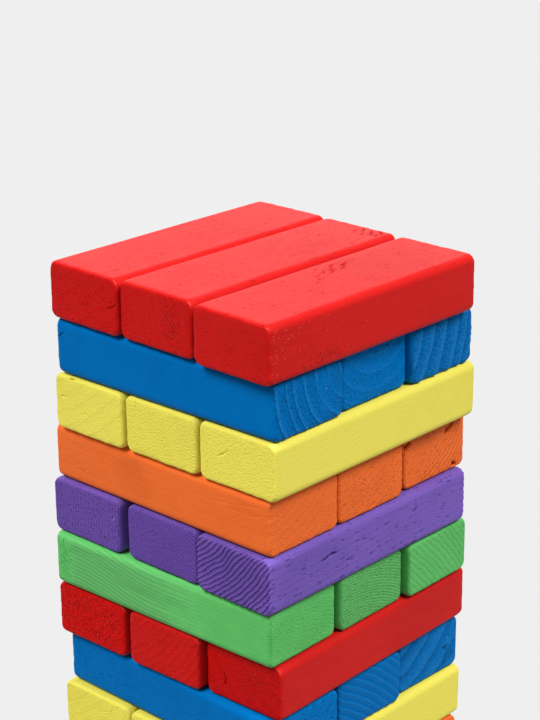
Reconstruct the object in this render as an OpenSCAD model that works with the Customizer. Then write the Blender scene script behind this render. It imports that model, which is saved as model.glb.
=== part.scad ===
// Block stacking tower: courses of three painted wooden blocks, each course laid across the one below.
// The origin is the middle of the underside of the bottom course's middle block. +Z is up the tower,
// -Y is its front face and +X its right face. Millimetres.

/* [Block] */
// Length of a block, which is also the side of the tower
block_l = 75; // [60:0.5:90]
// Width of a block, across the grain
block_w = 25; // [15:0.5:30]
// Thickness of a block
block_h = 15; // [9:0.5:20]
// Radius of the four long edges, planed before the strip is sawn into blocks
long_edge_r = 2; // [0.5:0.1:4]
// Radius of the edges round the sawn ends, only broken by tumbling
end_edge_r = 0.9; // [0.2:0.1:2.5]

/* [Tower] */
// Number of courses
courses = 18; // [2:1:20]
// Least gap between neighbours in a course
side_gap = 0.2; // [0.05:0.05:1]
// Gap between a course and the next, so that the free blocks slide out without binding
course_gap = 0.03; // [0.01:0.01:0.2]
// How untidily the blocks are stacked: 0 is a perfect tower, 1 is the tower as a player leaves it
untidy = 1; // [0:0.05:1.5]

/* [Hidden] */
// Facets of a full circle
$fn = 48;

// Colours of the courses from the bottom up, then again from the first
COLOUR_NAMES = ["green", "purple", "orange", "yellow", "blue", "red"];
PAINTS = ["#4EAE5A", "#66469C", "#E2652E", "#E3D34C", "#0A66B0", "#CB1B1F"];

// How each course lies, from the bottom up: how far its middle block is off the tower's centre line,
// sideways to its own length, the turn of the course in degrees, and how much wider than side_gap
// the gaps before and after its middle block are
LIE = [
    [0, 0, 0.3, 0.1],
    [0.5, -0.5, 0.2, 0.4],
    [-0.75, 0.5, 0.6, 0.1],
    [0.75, 0.25, 0.1, 0.3],
    [0.5, -0.75, 0.8, 0.2],
    [-1, 0.5, 0.3, 0.9],
    [1, 0.75, 0.2, 0.6],
    [-0.5, -0.5, 1.2, 0.3],
    [1.5, -0.75, 0.4, 0.7],
    [-1.75, 0.25, 0.2, 0.1],
    [2.5, -1, 1, 0.7],
    [-1.25, 1.25, 1.3, 0.7],
    [0.5, 1.25, 0.8, 0.7],
    [0.5, -0.25, 2, 0],
    [0.25, -0.5, 0, 1.3],
    [2, -0.25, 0.1, 0.2],
    [-0.75, 0.5, 0, 0],
    [3.25, -1, 0, 0.9]
];

// How far the first, middle and last block of each course are pushed along their own length
PUSH = [
    [0.5, 0, -0.5],
    [-0.5, 0.25, 0.75],
    [0.75, -0.5, 0],
    [0.25, 1, -0.75],
    [-1, 0.5, 0.25],
    [0.5, -0.75, 0.5],
    [-0.25, 0.5, -1],
    [1, 0.25, -0.5],
    [0.5, -1, -2.5],
    [0.5, 0.25, 2.75],
    [-0.25, -1.75, -3.5],
    [0.5, 0.25, 2],
    [-1.75, -1, 0.5],
    [-0.5, 0, -0.5],
    [-0.25, -0.25, -1.5],
    [-1.25, -0.75, 0],
    [2.25, 0.75, 2.25],
    [-2.25, -2.25, -3]
];

// How much longer than block_l each block was sawn
SAWN = [
    [0.25, 0, -0.25],
    [0, -0.25, 0.5],
    [-0.25, 0.25, 0],
    [0.25, 0, -0.5],
    [0, 0.5, -0.25],
    [-0.5, 0, 0.25],
    [0.25, -0.25, 0],
    [0, 0.25, -0.25],
    [0.5, 0, 0.25],
    [0, 0, 0],
    [-0.5, 0, 0],
    [0, 0, 0.5],
    [0, 0, 0],
    [0, 0, 1],
    [0.5, 0, 0],
    [0, 0, 1],
    [-1, 0, 0],
    [0.5, -0.5, 0]
];

// Odd courses run along X and are named from the front, even ones run along Y and are named from the left
function runs_along_x(course) = course % 2 == 1;
function place_name(course, place) =
    (runs_along_x(course) ? ["front", "middle", "back"] : ["left", "middle", "right"])[place];

// A block's name, such as course_18_red_left
function block_name(course, place) = str(
    "course_", course < 10 ? "0" : "", course, "_",
    COLOUR_NAMES[(course - 1) % len(COLOUR_NAMES)], "_", place_name(course, place)
);

// A row of one of the lists above, begun again where the tower has more courses than the list
function row(list, course) = list[(course - 1) % len(list)];

// Sideways place of a block's middle in its course
function sideways(course, place) =
    let (lie = row(LIE, course))
    untidy * lie[0]
    + (place - 1) * (block_w + side_gap)
    + untidy * [-lie[2], 0, lie[3]][place];

// A rectangle with round corners, centred on the origin
module round_rectangle(x, y, r) {
    square([x - 2 * r, y], center = true);
    square([x, y - 2 * r], center = true);
    for (side_x = [-1, 1], side_y = [-1, 1])
        translate([side_x * (x / 2 - r), side_y * (y / 2 - r)])
            circle(r);
}

// A block lying along X on the plane z = 0: the planed strip, its outline from above and from the side
module block(length) {
    translate([0, 0, block_h / 2])
        intersection() {
            rotate([90, 0, 90])
                linear_extrude(length, center = true)
                    round_rectangle(block_w, block_h, long_edge_r);
            linear_extrude(block_h, center = true)
                round_rectangle(length, block_w, end_edge_r);
            rotate([90, 0, 0])
                linear_extrude(block_w, center = true)
                    round_rectangle(length, block_h, end_edge_r);
        }
}

// A block in its place in the tower
module placed_block(course, place) {
    length = block_l + untidy * row(SAWN, course)[place];
    push = untidy * row(PUSH, course)[place];
    across = sideways(course, place);
    color(PAINTS[(course - 1) % len(PAINTS)])
        translate([0, 0, (course - 1) * (block_h + course_gap)])
            rotate([0, 0, untidy * row(LIE, course)[1]])
                if (runs_along_x(course))
                    translate([push, across, 0]) block(length);
                else
                    translate([across, push, 0]) rotate([0, 0, 90]) block(length);
}

for (course = [1:courses], place = [0:2])
    placed_block(course, place);
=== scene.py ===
import math

import bmesh
import bpy
import numpy as np
from mathutils import Matrix, Vector


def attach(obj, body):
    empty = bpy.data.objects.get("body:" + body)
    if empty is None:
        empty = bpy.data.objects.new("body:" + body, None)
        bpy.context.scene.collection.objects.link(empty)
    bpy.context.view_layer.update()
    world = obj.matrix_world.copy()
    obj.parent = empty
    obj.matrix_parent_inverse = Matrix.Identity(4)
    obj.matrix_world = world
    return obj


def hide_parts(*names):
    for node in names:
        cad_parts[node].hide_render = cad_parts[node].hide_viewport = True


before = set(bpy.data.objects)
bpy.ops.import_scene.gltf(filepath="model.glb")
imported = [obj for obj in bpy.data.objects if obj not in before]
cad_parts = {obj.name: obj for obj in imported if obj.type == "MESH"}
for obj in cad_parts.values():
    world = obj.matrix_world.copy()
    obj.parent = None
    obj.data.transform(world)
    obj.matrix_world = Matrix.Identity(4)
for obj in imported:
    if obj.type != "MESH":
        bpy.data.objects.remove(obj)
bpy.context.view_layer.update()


# The studio. The tower stands on a pale matt table that runs out of sight, in an even white room. Two soft
# lamps stand high at its sides, one before each face that is seen. A weaker, broader one stands low behind
# the tower and gives the tops their sheen.
TABLE_RADIUS = 6.0
TABLE_SIDES = 96
TABLE_AS_SEEN = (0.475, 0.475, 0.475, 1)
TABLE_IN_THE_LIGHT = (0.25, 0.25, 0.25, 1)
ROOM_AS_SEEN = (0.863, 0.863, 0.863, 1)
ROOM_IN_THE_LIGHT = (1, 1, 1, 1)
ROOM_LIGHT = 0.2
LAMPS = {  # strength, then in degrees the spread, the turn from the front and the height above the table
    "left_light": (3.0, 25, -12, 53),
    "right_light": (3.0, 25, 102, 53),
    "top_light": (0.7, 50, 223, 25),
}
CAMERA_PLACE = (0.3203, -0.3435, 0.4129)
CAMERA_TURN, CAMERA_DIP, CAMERA_ROLL = (math.radians(a) for a in (42.71, 20.05, -0.60))
CAMERA_LENS = 97.78
CAMERA_SENSOR = 36
CAMERA_NEAREST = 0.01
UPRIGHT = math.pi / 2


def add_node(tree, kind, inputs, **settings):
    """A shader node whose inputs are linked to other nodes' sockets or set to plain values."""
    made = tree.nodes.new(kind)
    for setting, value in settings.items():
        setattr(made, setting, value)
    for socket, value in inputs.items():
        if isinstance(value, bpy.types.NodeSocket):
            tree.links.new(value, made.inputs[socket])
        else:
            made.inputs[socket].default_value = value
    return made


def calculate(tree, operation, *values, **settings):
    """The result of one step of arithmetic."""
    return add_node(tree, "ShaderNodeMath", dict(enumerate(values)), operation=operation, **settings).outputs[0]


def mixed(tree, share, first, second):
    """The first colour with a share of the second."""
    return add_node(tree, "ShaderNodeMix", {0: share, 6: first, 7: second}, data_type="RGBA").outputs[2]


def own_material(name):
    """A new material with nothing in it but its output."""
    material = bpy.data.materials.new(name)
    material.use_nodes = True
    material.node_tree.nodes.clear()
    return material, material.node_tree, material.node_tree.nodes.new("ShaderNodeOutputMaterial")


def seen_directly(tree):
    """1 for a ray from the camera, or one that got here by a mirror or through glass, and 0 for light."""
    ray = tree.nodes.new("ShaderNodeLightPath").outputs
    either = calculate(tree, "MAXIMUM", ray["Is Camera Ray"], ray["Is Glossy Ray"])
    return calculate(tree, "MAXIMUM", either, ray["Is Transmission Ray"])


table_mesh = bmesh.new()
bmesh.ops.create_circle(table_mesh, cap_ends=True, segments=TABLE_SIDES, radius=TABLE_RADIUS)
table_top = bpy.data.objects.new("table_top", bpy.data.meshes.new("table_top"))
table_mesh.to_mesh(table_top.data)
table_mesh.free()
bpy.context.scene.collection.objects.link(table_top)
table_material, tree, output = own_material("matt_table")
colour = mixed(tree, seen_directly(tree), TABLE_IN_THE_LIGHT, TABLE_AS_SEEN)
matt = add_node(tree, "ShaderNodeBsdfDiffuse", {"Color": colour})
tree.links.new(matt.outputs["BSDF"], output.inputs["Surface"])
table_top.data.materials.append(table_material)

room = bpy.data.worlds.new("room")
bpy.context.scene.world = room
room.use_nodes = True
tree = room.node_tree
tree.nodes.clear()
seen = add_node(tree, "ShaderNodeBackground", {"Color": ROOM_AS_SEEN, "Strength": 1})
lighting = add_node(tree, "ShaderNodeBackground", {"Color": ROOM_IN_THE_LIGHT, "Strength": ROOM_LIGHT})
inputs = {0: seen_directly(tree), 1: lighting.outputs[0], 2: seen.outputs[0]}
either = add_node(tree, "ShaderNodeMixShader", inputs)
add_node(tree, "ShaderNodeOutputWorld", {"Surface": either.outputs[0]})

for name, (strength, *angles) in LAMPS.items():
    spread, turn, rise = (math.radians(angle) for angle in angles)
    light = bpy.data.objects.new(name, bpy.data.lights.new(name, "SUN"))
    light.data.energy = strength
    light.data.angle = spread
    light.matrix_world = Matrix.Rotation(turn, 4, "Z") @ Matrix.Rotation(UPRIGHT - rise, 4, "X")
    bpy.context.scene.collection.objects.link(light)

camera = bpy.data.objects.new("camera", bpy.data.cameras.new("camera"))
camera.data.lens = CAMERA_LENS
camera.data.sensor_width = CAMERA_SENSOR
camera.data.clip_start = CAMERA_NEAREST
camera.matrix_world = (
    Matrix.Translation(CAMERA_PLACE)
    @ Matrix.Rotation(CAMERA_TURN, 4, "Z")
    @ Matrix.Rotation(UPRIGHT - CAMERA_DIP, 4, "X")
    @ Matrix.Rotation(CAMERA_ROLL, 4, "Z")
)
bpy.context.scene.collection.objects.link(camera)
bpy.context.scene.camera = camera
bpy.context.scene.view_settings.view_transform = "Standard"


# Course 1, green, along X. Each block is a length of planed softwood strip with its four long edges
# rounded, sawn off square, tumbled and painted. The saw leaves the growth rings standing on its ends. The
# three blocks lie loose on the table and are held by the weight of the tower.
MM = 0.001
TINY = 1e-6
LONG_EDGE = 2.1  # radius of the planed long edges, in millimetres, as all the sizes below
END_EDGE = 0.9  # radius of the edges round the sawn ends
END_EDGE_STEPS = 4  # cross sections from an end to the straight part of a block
OUTLINE_STEP = 0.45  # between points round a block
STATION_STEP = 1.5  # between the cross sections along a block
NEAR_END = (0.4, 0.9, 1.6, 2.6)  # how far the closer cross sections lie from the edge round an end
LATTICE = np.random.default_rng(54).uniform(-1, 1, (32, 32, 32))


def eased(t):
    """From 0 to 1 as t goes from 0 to 1, level at both ends."""
    t = np.clip(t, 0, 1)
    return t * t * (3 - 2 * t)


def unevenness(points, size):
    """A smooth chance value from -1 to 1 at each point, with swells about one size across."""
    cell = np.floor(points / size).astype(int)
    part = eased(points / size - cell)
    total = np.zeros(len(points))
    for corner in np.ndindex(2, 2, 2):
        share = np.prod(np.where(corner, part, 1 - part), axis=1)
        total += share * LATTICE[tuple(((cell + corner) % len(LATTICE)).T)]
    return total


def strip_outline(width, height, step):
    """The planed strip's outline: points on the rectangle inside its round edges, and the directions out
    from it. It starts at the middle of a round edge. It gives the number of steps along both sides too."""
    inner, outward, counts = [], [], []
    for direction, length, reach in (
        ((1, 0), width, height), ((0, 1), height, width), ((-1, 0), width, height), ((0, -1), height, width)
    ):
        flat, bend = length - 2 * LONG_EDGE, LONG_EDGE * math.pi / 4
        count = round((flat + 2 * bend) / step)
        place = np.arange(count) / count * (flat + 2 * bend)
        along = np.clip(place - bend, 0, flat) - flat / 2
        lean = (np.clip(place - bend - flat, 0, None) - np.clip(bend - place, 0, None)) / LONG_EDGE
        ahead, out = np.array(direction), np.array((direction[1], -direction[0]))
        inner.append(np.outer(along, ahead) + out * (reach / 2 - LONG_EDGE))
        outward.append(np.outer(np.sin(lean), ahead) + np.outer(np.cos(lean), out))
        counts.append(count)
    return np.concatenate(inner), np.concatenate(outward), counts[0], counts[1]


def sawn_end(rim, wide, high):
    """Points inside a sawn end, in rows, blended from the rim that they fill."""
    low, right, top, left = np.split(rim, np.cumsum((wide, high, wide)))
    low, right = np.vstack((low, right[:1])), np.vstack((right, top[:1]))
    top, left = np.vstack((top, left[:1]))[::-1], np.vstack((left, low[:1]))[::-1]
    u, v = np.arange(wide + 1)[:, None, None] / wide, np.arange(high + 1)[None, :, None] / high
    sheet = (1 - v) * low[:, None] + v * top[:, None] + (1 - u) * left[None] + u * right[None]
    sheet -= (1 - u) * ((1 - v) * low[0] + v * top[0]) + u * ((1 - v) * low[-1] + v * top[-1])
    return sheet


def plain_block(length, width, height, step):
    """A block with no wear, in bmesh: along x, across y and up z, about its middle."""
    inner, outward, wide, high = strip_outline(width, height, step)
    count = len(inner)
    bend = np.linspace(math.pi / 2, 0, END_EDGE_STEPS + 1)
    body = length / 2 - END_EDGE
    near = body - np.array(NEAR_END)
    middle = np.linspace(-near[-1], near[-1], round(2 * near[-1] / STATION_STEP) + 1)[1:-1]
    stations = [(-body - END_EDGE * math.sin(a), END_EDGE * (1 - math.cos(a))) for a in bend]
    stations += [(x, 0) for x in (*-near, *middle, *near[::-1])]
    stations += [(-x, drawn_in) for x, drawn_in in stations[END_EDGE_STEPS::-1]]
    made = bmesh.new()
    hoops = []
    for x, drawn_in in stations:
        outline = inner + outward * (LONG_EDGE - drawn_in)
        hoops.append([made.verts.new((x, y, z)) for y, z in outline])
    for hoop, following in zip(hoops, hoops[1:]):
        for k in range(count):
            after = (k + 1) % count
            made.faces.new((hoop[k], hoop[after], following[after], following[k]))
    for hoop, (x, drawn_in), turned in ((hoops[0], stations[0], True), (hoops[-1], stations[-1], False)):
        sheet = sawn_end(inner + outward * (LONG_EDGE - drawn_in), wide, high)
        corners = {(i, 0): hoop[i] for i in range(wide)}
        corners |= {(wide, j): hoop[wide + j] for j in range(high)}
        corners |= {(wide - i, high): hoop[wide + high + i] for i in range(wide)}
        corners |= {(0, high - j): hoop[(2 * wide + high + j) % count] for j in range(high)}
        for i in range(1, wide):
            for j in range(1, high):
                corners[i, j] = made.verts.new((x, *sheet[i, j]))
        for i in range(wide):
            for j in range(high):
                square = [corners[i, j], corners[i + 1, j], corners[i + 1, j + 1], corners[i, j + 1]]
                made.faces.new(square[::-1] if turned else square)
    return made


FACE_AXES = {"right_end": [1, 2], "front_end": [1, 2], "flank": [0, 2], "top": [0, 1]}


def place_on(face, size, u, v):
    """The point at u to the right and v up from the middle of a face, seen from outside."""
    length, width, height = size
    return np.array({
        "right_end": (length / 2, u, v),
        "front_end": (-length / 2, -u, v),
        "flank": (u, -width / 2, v),
        "top": (u, v, height / 2),
    }[face])


def off_the_line(points, line):
    """How far each point is from the nearest piece of a line of points."""
    nearest = np.full(len(points), np.inf)
    for start, end in zip(line, line[1:]):
        way = end - start
        part = np.clip((points - start) @ way / max(way @ way, TINY), 0, 1)
        nearest = np.minimum(nearest, np.linalg.norm(points - start - part[:, None] * way, axis=1))
    return nearest


def surface_of(points, size):
    """Which way each point of a block faces, and how far it is from the edge round the nearer end."""
    length, width, height = size
    half = np.array((width / 2, height / 2)) - LONG_EDGE
    beyond = points[:, 1:] - np.clip(points[:, 1:], -half, half)
    reach = np.linalg.norm(beyond, axis=1)
    endwise = np.clip((np.abs(points[:, 0]) - length / 2 + END_EDGE) / END_EDGE, 0, 1)
    facing = np.empty_like(points)
    facing[:, 0] = endwise * np.sign(points[:, 0])
    facing[:, 1:] = beyond / np.maximum(reach, TINY)[:, None] * np.sqrt(1 - endwise**2)[:, None]
    within = np.abs(points[:, 1:]) - half
    inside = LONG_EDGE - reach - np.minimum(within.max(axis=1), 0)
    return facing, np.hypot(inside, length / 2 - np.abs(points[:, 0]))


FLANK_LEAN = 0.1  # how far from level the normal of a flank may be


def block_frame(node):
    """The middle, the size and the directions along, across and up of a block's solid, in metres."""
    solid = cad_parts[node].data
    walls = (face for face in solid.polygons if abs(face.normal.z) < FLANK_LEAN)
    flank = max(walls, key=lambda face: face.area)
    up, across = Vector((0, 0, 1)), flank.normal.copy()
    if across.y < across.x:
        across.negate()
    axes = np.array((across.cross(up), across, up))
    places = np.array([vertex.co for vertex in solid.vertices]) @ axes.T
    low, high = places.min(axis=0), places.max(axis=0)
    return (low + high) / 2 @ axes, high - low, axes


FINER_ROUNDS = 2  # times that the mesh round a cut is halved
APART = np.array((97.0, 31.0, 53.0))  # from one block's chance marks to the next one's
RIM = 1.2  # how far in from its edge a sawn end is rubbed
SLOW_ALONG = 0.12  # the rings waver this much less often along the strip than across it
WAVERS = ((1.0, 3.5), (0.4, 1.4))  # share and size of the rings' broad and fine wavering
RING_FULL = 0.9  # part of a year's growth at whose end its wood is hardest
TONE_SWELL, TONE_SIZE = 0.4, 22  # how the paint's tone changes over a block
PATCH_EDGE, PATCH_WAVE, PATCH_WAVE_SIZE = 1.5, 0.25, 2.2  # where a patch ends, in parts of its reach
PLANE_WAVE, PLANE_WAVE_SIZE = 0.05, 13  # the slow waves that planing leaves
CORNER_LOSS, CHIP_SIZE = 0.1, 1.8  # what a corner of an end loses, and the size of the chips in its rim
NAP, NAP_SIZE = 0.006, 0.9  # fibres that the paint has raised
CUT_WAVE, CUT_WAVE_SIZE = 0.15, 0.7  # how a cut strays from its line, in parts of its width
CUT_BED, CUT_STAIN, CUT_SLOPE = 1.9, 2.0, 1.6  # how wide a cut's bed and stain are, and how its sides fall
FULL_STAIN_DEPTH = 0.25  # depth from which a cut is fully stained
# the corners of a sawn end are paler than the rest of its rim: partly rubbed paint, partly a painted highlight
# like the one rounded corners catch
RIM_RUB, CORNER_RUB_AND_HIGHLIGHT = 0.9, 0.3  # how much the rim is rubbed, and a corner more


def lay_block(
    node, paint, pith=(-25, 30), rings=(20, 24), drift=(2, 1), bend=(0, 0, 1), wobble=0.2, sharp=1.5,
    ridge=0.05, strength=0.4, flank_ridge=0.01, flank_strength=0.05, rough=0.9, flank_rough=0.25,
    pores=0.2, flank_pores=0.0, cells=(1, 1), ragged=0.08, tone=0.0, step=OUTLINE_STEP, cuts=(), patches=(),
):
    """Builds a painted block round its solid. Its pith, the middle of the tree it came from, is told to the
    right of and above the middle of the end that is seen, and its growth rings by the radii at which their
    hard wood stops. A cut is a face, a line on it, a width, a depth and its stain. A patch is a face, a
    middle, a reach both ways, what there is more of, and how much more."""
    seed = list(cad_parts).index(node)
    middle, size, axes = block_frame(node)
    size = size / MM
    mesh = plain_block(*size, step)
    lines = [
        (np.array([place_on(face, size, *point) for point in line]), width, depth, kind)
        for face, line, width, depth, kind in cuts
    ]
    for _ in range(FINER_ROUNDS if lines else 0):
        mesh.verts.index_update()
        places = np.array([vertex.co for vertex in mesh.verts])
        near = np.any([off_the_line(places, line) < width + step for line, width, *_ in lines], axis=0)
        edges = [edge for edge in mesh.edges if near[edge.verts[0].index] and near[edge.verts[1].index]]
        bmesh.ops.subdivide_edges(mesh, edges=edges, cuts=1, use_grid_fill=True)
    block = bpy.data.objects.new(node.replace("course", "block"), bpy.data.meshes.new(node))
    mesh.to_mesh(block.data)
    mesh.free()

    count = len(block.data.vertices)
    points = np.empty(count * 3)
    block.data.vertices.foreach_get("co", points)
    points = points.reshape(-1, 3)
    facing, from_edge = surface_of(points, size)
    end, edge = facing[:, 0] ** 2, np.exp(-((from_edge / RIM) ** 2))
    corner = 2 * np.abs(facing[:, 1] * facing[:, 2])
    own = points + seed * APART

    seen_end = 1 if axes[0][0] > abs(axes[0][1]) else -1
    heart = np.array((pith[0] * seen_end, pith[1]))
    inward = (0.5 - points[:, 0] * seen_end / size[0])[:, None] * drift
    lift = bend[0] * eased((bend[2] - points[:, 0]) / (bend[2] - bend[1]))
    from_heart = points[:, 1:] - heart - inward - np.outer(lift, (0, 1))
    stretched = own * (SLOW_ALONG, 1, 1)
    waver = sum(share * unevenness(stretched, wave) for share, wave in WAVERS)
    radius = np.linalg.norm(from_heart, axis=1) + wobble * waver
    across_rays = from_heart @ -heart
    along_rays = from_heart[:, 0] * -heart[1] + from_heart[:, 1] * heart[0]
    round_heart = np.arctan2(along_rays, across_rays) * np.linalg.norm(heart)
    phase = np.interp(radius, rings, np.arange(len(rings)))
    phase += np.minimum(radius - rings[0], 0) / (rings[1] - rings[0])
    phase += np.maximum(radius - rings[-1], 0) / (rings[-1] - rings[-2])
    year = phase % 1
    hard = np.minimum(year / RING_FULL, 1) ** sharp * eased((1 - year) / (1 - RING_FULL))
    ring_width = (rings[-1] - rings[0]) / (len(rings) - 1)
    standing = eased(ring_width / step / 2 - 1)

    coarse = end * rough + (1 - end) * flank_rough
    open_pores = end * pores + (1 - end) * flank_pores
    shade = tone + TONE_SWELL * unevenness(own, TONE_SIZE)
    dark, pale, clear = np.zeros((3, count))
    marks = {
        "dark": dark, "pale": pale, "pores": open_pores, "smooth": clear, "coarse": coarse, "shade": shade,
    }
    for face, centre, reach, kind, amount in patches:
        stretch = np.ones(3)
        stretch[FACE_AXES[face]] = reach
        offset = np.linalg.norm((points - place_on(face, size, *centre)) / stretch, axis=1)
        marks[kind] += amount * eased(PATCH_EDGE - offset + PATCH_WAVE * unevenness(own, PATCH_WAVE_SIZE))
    clear = np.clip(clear, 0, 1)
    relief = standing * (1 - hard) * (1 - clear) * (ridge * (end + edge) + flank_ridge * (1 - end))
    relief += PLANE_WAVE * (1 + unevenness(own, PLANE_WAVE_SIZE)) + CORNER_LOSS * edge * corner
    relief += ragged * edge * (1 + unevenness(own, CHIP_SIZE)) + NAP * coarse * (1 + unevenness(own, NAP_SIZE))
    for line, width, depth, kind in lines:
        off = off_the_line(points, line) / width + CUT_WAVE * unevenness(own, CUT_WAVE_SIZE)
        relief += depth * eased(CUT_BED - CUT_SLOPE * off)
        if kind in marks:
            stain = min(depth / FULL_STAIN_DEPTH, 1) * eased(CUT_STAIN - CUT_SLOPE * off)
            np.maximum(marks[kind], stain, out=marks[kind])
    points -= facing * relief[:, None]

    kept = (1 - clear) * (end * strength + facing[:, 1] ** 2 * flank_strength)
    outward_cells = radius / cells[0] + seed * APART[1]
    round_cells = round_heart / cells[1] + seed * APART[2]
    attributes = {
        "grain": (own[:, 0], outward_cells, round_cells),
        "rings": (phase, kept, np.full(count, sharp)),
        "finish": (coarse, open_pores, shade),
        # the third part is the rubbed rim, paler at the corners, where it is also a painted highlight
        "wear": (dark, pale, edge * (RIM_RUB + CORNER_RUB_AND_HIGHLIGHT * corner)),
    }
    for name, values in attributes.items():
        attribute = block.data.attributes.new(name, "FLOAT_VECTOR", "POINT")
        attribute.data.foreach_set("vector", np.stack(values, axis=1).astype(np.float32).ravel())
    places = middle + points * MM @ axes
    block.data.vertices.foreach_set("co", places.astype(np.float32).ravel())
    block.data.shade_smooth()
    block.data.materials.append(paint)
    bpy.context.scene.collection.objects.link(block)
    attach(block, node)
    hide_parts(node)


def node_group(name, inputs, outputs):
    """An empty shader node group with these named inputs and outputs."""
    group = bpy.data.node_groups.new(name, "ShaderNodeTree")
    for socket, kind in inputs.items():
        group.interface.new_socket(socket, in_out="INPUT", socket_type="NodeSocket" + kind)
    for socket, kind in outputs.items():
        group.interface.new_socket(socket, in_out="OUTPUT", socket_type="NodeSocket" + kind)
    return group, group.nodes.new("NodeGroupInput").outputs, group.nodes.new("NodeGroupOutput").inputs


def ramp(tree, value, start, stop):
    """0 where a value is at start and 1 where it is at stop, level beyond both."""
    inputs = {"Value": value, "From Min": start, "From Max": stop}
    return add_node(tree, "ShaderNodeMapRange", inputs, interpolation_type="SMOOTHSTEP").outputs["Result"]


MEAN_HARDNESS = 0.4  # of a whole ring: softer wood takes more paint than this, and harder wood less


def growth_rings():
    """The hard wood that ends each growth ring: it builds up over the year and stops at the next spring."""
    outputs = {"Hard": "Float", "Soft": "Float", "Shade": "Float"}
    group, given, result = node_group("growth_rings", {"Rings": "Vector"}, outputs)
    phase, strength, sharp = add_node(group, "ShaderNodeSeparateXYZ", {0: given["Rings"]}).outputs
    year = calculate(group, "FRACT", phase)
    late = calculate(group, "POWER", calculate(group, "DIVIDE", year, RING_FULL, use_clamp=True), sharp)
    hard = calculate(group, "MULTIPLY", late, ramp(group, year, 1.0, RING_FULL))
    soft = calculate(group, "SUBTRACT", 1.0, hard)
    shade = calculate(group, "SUBTRACT", MEAN_HARDNESS, hard)
    for name, value in (("Hard", hard), ("Soft", soft), ("Shade", shade)):
        group.links.new(calculate(group, "MULTIPLY", value, strength), result[name])
    return group


def scaled(tree, vector, by):
    """A vector with its parts multiplied."""
    return add_node(tree, "ShaderNodeVectorMath", {0: vector, 1: by}, operation="MULTIPLY").outputs[0]


def noise(tree, vector, scale, detail):
    """Smooth chance values from 0 to 1."""
    return add_node(tree, "ShaderNodeTexNoise", {"Vector": vector, "Scale": scale, "Detail": detail}).outputs[0]


PORES_WITHOUT_RINGS = 0.3  # pores where no soft ring adds to them
PORE_KINDS = ((0.62, 0.35), (0.42, 0.6))  # size of the wide and the narrow ones, and how many are open
PORE_SHAPE = (0.22, 1.2, 0.9)  # long along the grain, less long across the rings and along them
PORE_EDGE, PORE_BED = 0.5, 0.2
PORE_FADE = 0.6  # the last open pores fade from this part of their number on


def open_pores():
    """Cut cells of the wood that the paint doesn't fill: pits on a sawn end, dashes along a planed side."""
    inputs = {"Grain": "Vector", "Amount": "Float", "Soft": "Float"}
    group, given, result = node_group("open_pores", inputs, {"Pores": "Float"})
    amount = calculate(group, "ADD", given["Soft"], PORES_WITHOUT_RINGS)
    amount = calculate(group, "MULTIPLY", amount, given["Amount"])
    total = 0.0
    for size, share in PORE_KINDS:
        place = scaled(group, given["Grain"], tuple(part / size for part in PORE_SHAPE))
        cells = add_node(group, "ShaderNodeTexVoronoi", {"Vector": place, "Scale": 1.0}).outputs
        pick = add_node(group, "ShaderNodeSeparateColor", {"Color": cells["Color"]}).outputs[0]
        often = calculate(group, "MULTIPLY", amount, share)
        among = ramp(group, pick, often, calculate(group, "MULTIPLY", often, PORE_FADE))
        pit = calculate(group, "MULTIPLY", ramp(group, cells["Distance"], PORE_EDGE, PORE_BED), among)
        total = calculate(group, "MAXIMUM", pit, total)
    group.links.new(total, result["Pores"])
    return group


FIBRE_SHAPE, FIBRE_SCALE = (0.07, 1.3, 1.0), 2.4  # long fibres that show through the paint
PEEL_SCALE = 2.6  # fine dimples of the dried paint
POOL_SCALE = 0.16  # broad pools where it lay thicker
FILM_DETAIL = 2.0
FIBRE_HEIGHT = 0.12
FIBRE_SHADE, PEEL_SHADE, POOL_SHADE = 0.3, 0.3, 0.4


def paint_film():
    """The skin of the paint, which shows the fibres of the wood under it, most on a coarse sawn end."""
    inputs, outputs = {"Grain": "Vector", "Coarse": "Float"}, {"Height": "Float", "Shade": "Float"}
    group, given, result = node_group("paint_film", inputs, outputs)
    fibre = noise(group, scaled(group, given["Grain"], FIBRE_SHAPE), FIBRE_SCALE, FILM_DETAIL)
    peel = noise(group, given["Grain"], PEEL_SCALE, FILM_DETAIL)
    pool = noise(group, given["Grain"], POOL_SCALE, FILM_DETAIL)
    height = calculate(group, "MULTIPLY", peel, given["Coarse"])
    height = calculate(group, "MULTIPLY_ADD", fibre, FIBRE_HEIGHT, height)
    shade = calculate(group, "MULTIPLY", pool, POOL_SHADE)
    shade = calculate(group, "MULTIPLY_ADD", fibre, FIBRE_SHADE, shade)
    shade = calculate(group, "MULTIPLY_ADD", peel, PEEL_SHADE, shade)
    group.links.new(height, result["Height"])
    group.links.new(shade, result["Shade"])
    return group


RUB_SHAPE, RUB_SCALE, RUB_DETAIL = (0.4, 1.0, 1.0), 0.9, 3.0
RUB_REACH = (0.8, 1.05)  # wear of the edge at which the paint begins to go, and is gone
RUB_CHANCE = (0.25, 0.65)  # chance value at which the same happens
SPECK_SCALE = 1.8
SPECK_FADE = 0.7  # the last specks fade from this part of their number on
SPECKS = {"Dark": (0.7, 0.65, 0.4), "Pale": (0.4, 0.9, 0.9)}  # size, strength, and mark at which they join


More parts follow.
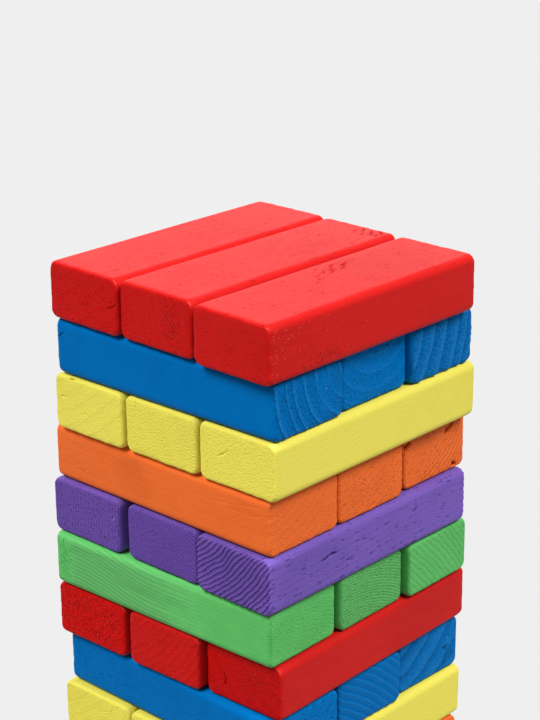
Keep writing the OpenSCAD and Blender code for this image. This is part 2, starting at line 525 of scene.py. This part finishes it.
def wear():
    """Paint rubbed thin along the edges round a sawn end, paler at its corners, where it is also a painted
    highlight, and specks where a patch is marked dark or pale.
    """
    inputs = {"Grain": "Vector", "Wear": "Vector"}
    group, given, result = node_group("wear", inputs, {"Worn": "Float", "Dark": "Float", "Pale": "Float"})
    dark, pale, edge = add_node(group, "ShaderNodeSeparateXYZ", {0: given["Wear"]}).outputs
    chance = noise(group, scaled(group, given["Grain"], RUB_SHAPE), RUB_SCALE, RUB_DETAIL)
    worn = calculate(group, "MULTIPLY", ramp(group, edge, *RUB_REACH), ramp(group, chance, *RUB_CHANCE))
    group.links.new(worn, result["Worn"])
    cells = add_node(group, "ShaderNodeTexVoronoi", {"Vector": given["Grain"], "Scale": SPECK_SCALE}).outputs
    pick = add_node(group, "ShaderNodeSeparateColor", {"Color": cells["Color"]}).outputs
    for mark, picked, kind in ((dark, pick[0], "Dark"), (pale, pick[1], "Pale")):
        size, most, joined = SPECKS[kind]
        among = ramp(group, picked, mark, calculate(group, "MULTIPLY", mark, SPECK_FADE))
        speck = calculate(group, "MULTIPLY", ramp(group, cells["Distance"], size, size / 3), among)
        speck = calculate(group, "MULTIPLY", speck, most)
        group.links.new(calculate(group, "MAXIMUM", speck, ramp(group, mark, joined, 1.0)), result[kind])
    return group


RINGS, PORES, FILM, WEAR = growth_rings(), open_pores(), paint_film(), wear()


def place_group(tree, group, inputs):
    """Puts a node group in a material and gives its outputs."""
    made = tree.nodes.new("ShaderNodeGroup")
    made.node_tree = group
    for socket, value in inputs.items():
        tree.links.new(value, made.inputs[socket])
    return made.outputs


def linear(colour):
    """A colour told as it looks on a screen, from 0 to 255, as light."""
    parts = (value / 255 for value in colour)
    return (*(p / 12.92 if p < 0.04045 else ((p + 0.055) / 1.055) ** 2.4 for p in parts), 1)


FILM_DEEP, TONE_DEEP, LEAST_DEEP, RING_DEEP = 0.5, 0.15, -0.22, 0.45  # what deepens the colour of the paint
PORE_DEEP, SPECK_DEEP = 0.55, 0.85
EDGE_BARE, RING_BARE, SPECK_BARE = 0.5, 0.08, 0.6  # what bares the colour of rubbed paint
FILM_HEIGHT, PORE_HEIGHT, RING_HEIGHT = 0.45, -0.1, 0.2
SATIN, FILM_ROUGHNESS, PORE_ROUGHNESS = 0.36, 0.12, 0.2


def painted_wood(name, on_flank, on_end, deep, rubbed, gloss=0.05):
    """Satin water paint on softwood. It soaks into a sawn end, lies thick in pores and soft rings, and wears
    pale. Its colours are told as on a screen."""
    material, tree, output = own_material(name)
    grain, ring, finish, worn = (
        add_node(tree, "ShaderNodeAttribute", {}, attribute_name=attribute).outputs["Vector"]
        for attribute in ("grain", "rings", "finish", "wear")
    )
    coarse, pore_amount, shade = add_node(tree, "ShaderNodeSeparateXYZ", {0: finish}).outputs
    rings = place_group(tree, RINGS, {"Rings": ring})
    pores = place_group(tree, PORES, {"Grain": grain, "Amount": pore_amount, "Soft": rings["Soft"]})["Pores"]
    film = place_group(tree, FILM, {"Grain": grain, "Coarse": coarse})
    rubs = place_group(tree, WEAR, {"Grain": grain, "Wear": worn})

    colour = mixed(tree, coarse, linear(on_flank), linear(on_end))
    thick = calculate(tree, "MULTIPLY_ADD", shade, TONE_DEEP, LEAST_DEEP)
    thick = calculate(tree, "MULTIPLY_ADD", film["Shade"], FILM_DEEP, thick)
    ringed = calculate(tree, "MULTIPLY", rings["Shade"], RING_DEEP)
    thick = calculate(tree, "ADD", thick, ringed, use_clamp=True)
    filled = calculate(tree, "MULTIPLY", pores, PORE_DEEP)
    filled = calculate(tree, "MAXIMUM", filled, calculate(tree, "MULTIPLY", rubs["Dark"], SPECK_DEEP))
    colour = mixed(tree, calculate(tree, "MAXIMUM", thick, filled), colour, linear(deep))
    bare = calculate(tree, "MULTIPLY", rubs["Worn"], EDGE_BARE)
    bare = calculate(tree, "MAXIMUM", calculate(tree, "MULTIPLY", rings["Hard"], RING_BARE), bare)
    bare = calculate(tree, "MAXIMUM", bare, calculate(tree, "MULTIPLY", rubs["Pale"], SPECK_BARE))
    colour = mixed(tree, bare, colour, linear(rubbed))

    height = calculate(tree, "MULTIPLY", pores, PORE_HEIGHT)
    height = calculate(tree, "MULTIPLY_ADD", film["Height"], FILM_HEIGHT, height)
    height = calculate(tree, "MULTIPLY_ADD", rings["Hard"], RING_HEIGHT, height)
    bump = add_node(tree, "ShaderNodeBump", {"Height": height, "Strength": 1.0, "Distance": MM})
    roughness = calculate(tree, "MULTIPLY_ADD", film["Shade"], FILM_ROUGHNESS, SATIN)
    roughness = calculate(tree, "MULTIPLY_ADD", pores, PORE_ROUGHNESS, roughness)
    surface = add_node(tree, "ShaderNodeBsdfPrincipled", {
        "Base Color": colour, "Roughness": roughness, "Specular IOR Level": gloss, "Normal": bump.outputs[0],
    })
    tree.links.new(surface.outputs[0], output.inputs["Surface"])
    return material


YEARS = 80  # growth rings that a chance block may be cut from


def chance_wood(seed):
    """Wood as it falls: the strip may come from anywhere in the tree."""
    draw = np.random.default_rng(seed)
    away, around, width = draw.uniform(18, 60), draw.uniform(0, 2 * math.pi), draw.uniform(1.0, 4.5)
    return {
        "pith": (away * math.cos(around), away * math.sin(around)),
        "rings": np.cumsum(width * draw.uniform(0.7, 1.3, YEARS)) + draw.uniform(0, width),
        "drift": draw.uniform(-3, 3, 2),
        "sharp": draw.uniform(1.0, 4.0),
        "wobble": draw.uniform(0.1, 0.4),
        "ridge": draw.uniform(0.0, 0.035) * width,
        "strength": draw.uniform(0.1, 0.8),
        "rough": draw.uniform(0.5, 1.3),
        "pores": draw.uniform(0.0, 0.5),
        "ragged": draw.uniform(0.05, 0.2),
        "tone": draw.uniform(-0.3, 0.3),
    }


def lay_chance_course(course, colour, paint):
    """Three blocks side by side: front to back in an odd course, left to right in an even one."""
    places = ("front", "middle", "back") if course % 2 else ("left", "middle", "right")
    for number, place in enumerate(places):
        wood = chance_wood(len(places) * (course - 1) + number)
        lay_block(f"course_{course:02d}_{colour}_{place}", paint, **wood)


green = painted_wood(
    "painted_green", on_flank=(101, 198, 106), on_end=(96, 193, 101),
    deep=(0, 100, 35), rubbed=(175, 225, 175),
)
lay_chance_course(1, "green", green)


# Course 2, purple, along Y. Three lengths of the same planed strip lie side by side across the green ones.
# Nothing but weight and friction holds them. The purple paint is dark and hides most of the wood.
purple = painted_wood(
    "painted_purple", on_flank=(123, 96, 186), on_end=(106, 73, 166),
    deep=(44, 22, 95), rubbed=(175, 155, 220),
)
lay_chance_course(2, "purple", purple)


# Course 3, orange, along X. Three lengths of softwood strip lie loose across the purple ones. The orange
# paint is thin, and dries to a dark red brown where it gathers in pores and cracks.
orange = painted_wood(
    "painted_orange", on_flank=(237, 109, 43), on_end=(246, 114, 52),
    deep=(125, 14, 0), rubbed=(255, 175, 125),
)
lay_chance_course(3, "orange", orange)


# Course 4, yellow, along Y. Three lengths of softwood strip lie loose across the orange ones. The yellow
# paint covers well, and turns to ochre where it lies thick.
yellow = painted_wood(
    "painted_yellow", on_flank=(234, 222, 95), on_end=(247, 233, 90),
    deep=(176, 156, 18), rubbed=(255, 248, 180),
)
lay_chance_course(4, "yellow", yellow)


# Course 5, blue, along X. Three lengths of softwood strip lie loose across the yellow ones. The blue paint
# dries with less gloss than the others.
blue = painted_wood(
    "painted_blue", on_flank=(0, 106, 178), on_end=(0, 116, 192),
    deep=(0, 50, 110), rubbed=(90, 160, 215), gloss=0.015,
)
lay_chance_course(5, "blue", blue)


# Course 6, red, along Y. Three lengths of softwood strip lie loose across the blue ones. The red paint is
# bright, and almost black where it fills a pore or a crack.
red = painted_wood(
    "painted_red", on_flank=(206, 36, 33), on_end=(203, 4, 2),
    deep=(90, 0, 0), rubbed=(245, 120, 110),
)
lay_chance_course(6, "red", red)


# Course 7, green, along X. The six colours begin again from here. Three lengths of softwood strip, painted
# green, lie loose across the red ones.
lay_chance_course(7, "green", green)


# Course 8, purple, along Y. Three lengths of softwood strip, painted purple, lie loose across the green
# ones and are held by weight and friction alone.
lay_chance_course(8, "purple", purple)


# Course 9, orange, along X. Three lengths of softwood strip, painted orange, lie loose across the purple
# ones, half way up the tower.
lay_chance_course(9, "orange", orange)


# Course 10, yellow, along Y. Three lengths of softwood strip, painted yellow, lie loose across the orange
# ones. They are of even wood, sawn clean, so their ends show hardly any rings.
even_wood = {"strength": 0.05, "pores": 0.1}
lay_block("course_10_yellow_left", yellow, **even_wood)
lay_block("course_10_yellow_middle", yellow, pith=(20, 35), **even_wood)
lay_block("course_10_yellow_right", yellow, pith=(-40, 12), **even_wood)


# Course 11, blue, along X. Three lengths of softwood strip, painted blue, lie loose across the yellow ones.
# The front one has a coarse end, the middle one fine rings that run almost straight, and the back one
# broad faint rings and a nick like an arrow.
lay_block(
    "course_11_blue_front", blue, pith=(-30, 26), rings=np.arange(20, 60, 3.0), strength=0.3,
    flank_rough=0.5, pores=0.8, cells=(1.3, 1.6),
    patches=[
        ("flank", (-25, 0), (14, 6), "dark", 0.2), ("flank", (0, 0), (38, 9), "shade", 0.3),
        ("right_end", (4, 3), (5, 2.5), "dark", 0.5), ("right_end", (-4, -2), (5, 4), "pores", 0.8),
    ],
)
lay_block(
    "course_11_blue_middle", blue, pith=(-38, -50), rings=np.arange(40, 80, 2.1), ridge=0.12,
    strength=1.0, rough=0.6, pores=0.5,
)
lay_block(
    "course_11_blue_back", blue, pith=(-26, 31), rings=np.arange(20, 60, 5.5), wobble=0.5, sharp=1,
    ridge=0.02, strength=1.0, rough=0.7, pores=0.6,
    cuts=[
        ("right_end", [(5.2, -2), (6, -1.4), (7.2, -0.4)], 0.3, 0.55, "dark"),
        ("right_end", [(6.2, -0.5), (7.6, -0.3), (7.3, -1.6)], 0.28, 0.5, "dark"),
        ("right_end", [(8, 2), (8.2, 2.4)], 0.35, 0.35, "pale"),
    ],
    patches=[
        ("right_end", (-6, 4.5), (5, 3), "shade", 1.2), ("right_end", (8, -3.5), (3, 2), "shade", 1.4),
        ("right_end", (-11, 1), (1.5, 4), "shade", 1.4),
    ],
)


# Course 12, red, along Y. Three lengths of softwood strip, painted red, lie loose across the blue ones. The
# left one has a pitted end, where the saw tore the soft wood, and the right one a short crack in its end.
lay_block(
    "course_12_red_left", red, pith=(-20, 40), strength=0.1, rough=1.0, pores=0.6, cells=(1.4, 1.6),
    patches=[
        ("front_end", (-7, 3.5), (4, 1.6), "dark", 0.3), ("front_end", (-8, -1), (3, 1.5), "dark", 0.2),
        ("front_end", (6, 1), (4, 2.5), "dark", 0.35), ("front_end", (4, -4), (5, 1.4), "dark", 0.4),
        ("front_end", (0, 0), (10, 6), "pores", 0.5),
    ],
)
lay_block(
    "course_12_red_middle", red, pith=(-30, 30), rings=np.arange(20, 60, 2.0), strength=0.15,
    rough=0.7, pores=0.1,
)
lay_block(
    "course_12_red_right", red, pith=(30, 25), strength=0.1, pores=0.5, tone=0.5,
    cuts=[("front_end", [(-6.3, 0.2), (-5.8, -1.4), (-6.1, -3.2)], 0.2, 0.3, "dark")],
    patches=[("front_end", (4, 2), (6, 4), "dark", 0.18)],
)


# Course 13, green, along X. Three lengths of softwood strip, painted green, lie loose across the red ones.
# The grain of the front one bends towards a coarse knot at its left end. The other two are of slow wood,
# with close rings, and in the middle one the pores follow them in rows.
lay_block(
    "course_13_green_front", green, pith=(-6, -40), rings=np.arange(20, 70, 1.1), bend=(4, -30, -2),
    wobble=0.3, sharp=0.6, strength=0.2, flank_ridge=0.0, flank_strength=1.5, rough=0.7, pores=0.6,
    tone=-0.6,
    patches=[
        ("flank", (-34, 0), (2.2, 6), "coarse", 0.7), ("flank", (-34, 0), (2.2, 6), "dark", 0.45),
        ("right_end", (0, 0), (13, 8), "shade", 1.6), ("flank", (30, 0), (22, 12), "shade", 1.5),
        ("flank", (-34, 0), (2.6, 8), "smooth", 1.0), ("flank", (30, 0), (24, 20), "smooth", 0.95),
    ],
)
lay_block(
    "course_13_green_middle", green, pith=(-10, -40), rings=np.arange(20, 70, 0.78), wobble=0.1,
    sharp=0.6, strength=1.2, rough=0.4, pores=0.95, cells=(0.8, 1.5), tone=-0.6,
)
lay_block(
    "course_13_green_back", green, pith=(-58, -54), rings=np.arange(55, 110, 1.5), wobble=0.3,
    sharp=0.4, strength=0.6, rough=0.5, pores=0.7, cells=(0.8, 1.5), tone=1.2,
)


# Course 14, purple, along Y. Three lengths of softwood strip, painted purple, lie loose across the green
# ones. The right one is soft wood with hard rings, which the saw left standing as ridges on its end, and
# its flank has open pores and two short cracks.
lay_block(
    "course_14_purple_left", purple, pith=(-45, 3), rings=np.arange(20, 70, 1.0), wobble=0.1,
    strength=0.7, pores=0.8,
    cuts=[("front_end", [(10, 2), (10.3, 2.4)], 0.35, 0.25, "pale")],
)
lay_block(
    "course_14_purple_middle", purple, pith=(25, 30), rings=np.arange(20, 70, 1.1), pores=1.1,
    cells=(1.3, 1.4), tone=1.3,
    patches=[("front_end", (-5, 3), (6, 5), "pores", 1.0)],
)
lay_block(
    "course_14_purple_right", purple, pith=(-40, 40), rings=np.arange(20, 90, 1.17), wobble=0.35,
    sharp=0.9, ridge=0.22, strength=1.3, flank_strength=0.15, pores=0.4, flank_pores=0.8, ragged=0.06,
    step=0.27,
    cuts=[
        ("flank", [(-19, 1.2), (-17.4, 1.2), (-15.5, 1.9), (-14, 1.5)], 0.36, 0.5, "dark"),
        ("flank", [(-10, -1), (-9, -2)], 0.32, 0.4, "dark"),
    ],
    patches=[
        ("flank", (-28, 0), (12, 7), "pores", 0.4), ("flank", (-30, 4.8), (7, 1), "pores", 0.6),
        ("front_end", (0, 0), (13, 8), "shade", 2.8), ("flank", (-22, 0), (12, 10), "shade", 0.8),
    ],
)


# Course 15, orange, along X. Three lengths of softwood strip, painted orange, lie loose across the purple
# ones. The front one has fine tears of the plane in its flank. The back one lost three splinters from its
# end before it was painted.
lay_block(
    "course_15_orange_front", orange, pith=(-18, 30), rings=np.arange(14, 60, 2.2), strength=0.1,
    rough=0.5, flank_rough=0.3, pores=1.6,
    cuts=[
        ("flank", [(-34, -4.5), (-31, -2.4), (-27.6, -0.8)], 0.14, 0.1, ""),
        ("flank", [(-29.5, 2.4), (-26, 4.2)], 0.12, 0.07, ""),
        ("flank", [(-25.6, 2.2), (-23.6, 4.4)], 0.12, 0.07, ""),
        ("flank", [(-29.2, -3), (-27.4, -3.4)], 0.16, 0.1, ""),
        ("flank", [(-26.8, -2.6), (-24.6, -3.8)], 0.14, 0.1, ""),
        ("flank", [(19, 2.6), (27, 3.8), (34, 5)], 0.12, 0.07, ""),
        ("flank", [(24, 2), (29, 2.4)], 0.12, 0.07, ""),
        ("flank", [(31, 2), (35, 3)], 0.12, 0.07, ""),
    ],
    patches=[("flank", (-9, 0), (6, 5), "shade", 0.7), ("flank", (-29, 0), (8, 6), "coarse", 0.3)],
)
lay_block(
    "course_15_orange_middle", orange, pith=(-17, 36), rings=np.arange(20, 60, 1.9), strength=0.1,
    rough=0.5, pores=0.8,
)
lay_block(
    "course_15_orange_back", orange, pith=(-14, 18), rings=np.arange(8, 50, 1.4), ridge=0.02,
    strength=0.7, rough=0.5, pores=0.7,
    cuts=[
        ("right_end", [(-12.6, 3.8), (-11.4, 4.3), (-10.4, 5.2)], 0.75, 1.6, "dark"),
        ("right_end", [(4.6, 4.0), (5.8, 4.4), (6.8, 5.4)], 0.75, 1.6, "dark"),
        ("right_end", [(7.8, -6.1), (8.4, -6.3)], 0.7, 1.2, "dark"),
    ],
    # the shade patch high on the end is painted shadow, cast by the overhanging course above
    patches=[("right_end", (-8, -1), (7, 6), "smooth", 0.8), ("right_end", (-6, 5), (7, 2), "shade", 1.0)],
)


# Course 16, yellow, along Y. Three lengths of softwood strip, painted yellow, lie loose across the orange
# ones. The paint lies thick over their ends, and the left one has a chip in its upper rim.
lay_block(
    "course_16_yellow_left", yellow, pith=(-30, 45), strength=0.03, rough=0.45, pores=0.04,
    cuts=[
        ("front_end", [(-6.5, 7), (-4.5, 7.6)], 0.4, 0.5, "dark"),
        ("front_end", [(-9.6, 1.5), (-8.2, 1.6)], 0.2, 0.2, ""),
        ("front_end", [(-1.4, -1.2), (0.4, -1.8)], 0.16, 0.15, ""),
    ],
)
lay_block(
    "course_16_yellow_middle", yellow, pith=(15, 50), rings=np.arange(20, 80, 0.9), strength=0.08,
    rough=0.75, pores=0.05, ragged=0.12,
)
lay_block(
    "course_16_yellow_right", yellow, pith=(25, 40), rings=np.arange(20, 80, 0.8), sharp=3,
    strength=0.03, flank_strength=0.07, rough=0.65, flank_rough=0.15, pores=0.03,
    cuts=[("front_end", [(-6, 0), (-4.4, 0.8), (-3, 2)], 0.18, 0.2, "")],
)


# Course 17, blue, along X. Three lengths of softwood strip, painted blue, lie loose across the yellow ones.
# They are fast wood, with few broad rings on their ends. In the back one the soft wood between the rings
# is worn into troughs.
lay_block(
    "course_17_blue_front", blue, pith=(17, 7), rings=(15.5, 19.7, 23.2, 25.6, 29.6, 33.5), sharp=6,
    ridge=0.1, strength=1.1, rough=0.8, pores=0.8, cells=(1.2, 1.4),
    cuts=[
        ("flank", [(-36, 2.5), (-34, 4)], 0.2, 0.2, "dark"),
        ("right_end", [(6, 1.2), (6.2, 1.5)], 0.3, 0.25, "pale"),
        ("right_end", [(6, -2), (11, -4)], 0.12, 0.08, ""),
    ],
    patches=[("right_end", (7, 1), (5, 6), "smooth", 0.8)],
)
lay_block(
    "course_17_blue_middle", blue, pith=(1, 12.5), rings=(9, 13.4, 17.9, 21.5), sharp=5, ridge=0.04,
    strength=0.35, rough=0.5, pores=0.5,
    cuts=[
        ("right_end", [(0, 4.6), (1, 5)], 0.15, 0.2, "dark"),
        ("right_end", [(4, 5.8), (5, 5.2)], 0.15, 0.2, "dark"),
    ],
)
lay_block(
    "course_17_blue_back", blue, pith=(-33, 10), rings=(25.5, 30.1, 35.3, 40.2, 43.6, 46.3), sharp=1.8,
    ridge=0.4, strength=1.8, pores=1.3, cells=(1.2, 1), ragged=0.06, tone=-1.1, step=0.3,
)


# Course 18, red, along Y. The top three lengths of softwood strip, painted red, lie loose across the blue
# ones. Their tops have fine open pores and dents from falls, and the right one is rubbed pale at its front
# corner. The back part of each top is painted a deeper red, as painted shade where the sheen falls off.
open_grained_top = [("top", (0, 0), (38, 13), "coarse", 0.3), ("top", (0, 0), (38, 13), "pores", 0.3)]
lay_block(
    "course_18_red_left", red, pith=(-25, 40), strength=0.05, rough=0.8, flank_rough=0.35, pores=0.5,
    cuts=[
        ("front_end", [(9, -0.5), (10.6, 0), (12, 1)], 0.14, 0.2, "dark"),
        ("top", [(-37, -6.3), (37, -5)], 0.12, 0.04, ""),
    ],
    patches=[
        *open_grained_top, ("front_end", (-4, 4), (2, 1.5), "dark", 0.35),
        # the shade patch on the top is painted shade: the top deepens towards the back, where the sheen falls
        # off
        ("front_end", (6, 3), (4, 3), "dark", 0.22), ("top", (20, 0), (18, 13), "shade", 1.0),
    ],
)
lay_block(
    "course_18_red_middle", red, pith=(40, 10), strength=0.05, rough=0.7, flank_rough=0.35, pores=0.4,
    cuts=[
        ("top", [(31.5, -2.7), (33, -2.3)], 0.3, 0.22, "dark"),
        ("top", [(33, -4.5), (35, -3)], 0.3, 0.22, "dark"),
        ("top", [(30, -6.5), (31, -5.5)], 0.25, 0.2, "dark"),
        ("top", [(32, -8), (34.5, -6)], 0.3, 0.22, "dark"),
        ("top", [(31.5, -10), (33, -9)], 0.3, 0.22, "dark"),
        ("top", [(34, -10), (35.5, -8)], 0.3, 0.22, "dark"),
    ],
    patches=[
        *open_grained_top, ("front_end", (5.5, 0.5), (2.5, 6), "dark", 0.4),
        # the shade patch on the top is painted shade: the top deepens towards the back, where the sheen falls
        # off
        ("top", (32.5, -7), (3, 4), "dark", 0.35), ("top", (10, 0), (12, 13), "shade", 0.7),
    ],
)
lay_block(
    "course_18_red_right", red, pith=(25, 36), strength=0.05, rough=0.6, flank_rough=0.35,
    cuts=[
        ("top", [(-4.6, 2), (-3.8, 2.8)], 0.25, 0.2, "dark"),
        ("top", [(-2.6, 4.4), (-2.3, 4.8)], 0.25, 0.2, "dark"),
        ("top", [(0.6, 5.6), (1.6, 6.8)], 0.25, 0.2, "dark"),
        ("top", [(0, 7.8), (2, 9.4)], 0.25, 0.2, "dark"),
        ("top", [(2.4, 4.2), (4, 6)], 0.3, 0.22, "dark"),
        ("top", [(4.4, 6.6), (6.6, 8.6)], 0.25, 0.2, "dark"),
        ("top", [(7, 4.8), (8.6, 6.6)], 0.3, 0.22, "dark"),
        ("top", [(9, 6.2), (10.6, 7.8)], 0.3, 0.22, "dark"),
    ],
    patches=[
        *open_grained_top, ("flank", (-36, 0), (1.2, 7), "pale", 0.35),
        ("flank", (-32, 3.5), (4.5, 2.5), "pale", 0.2), ("flank", (-22, 1), (16, 5), "pale", 0.05),
        ("flank", (-18.5, -4.3), (7, 1.2), "dark", 0.55), ("flank", (-25, -5.5), (2, 1), "dark", 0.3),
        ("top", (4, 6), (7, 3), "dark", 0.15), ("front_end", (12, 7), (1.0, 1.0), "pale", 0.9),
        # painted shade: the top deepens towards the back, where the sheen falls off
        ("top", (20, 0), (18, 13), "shade", 1.2),
    ],
)
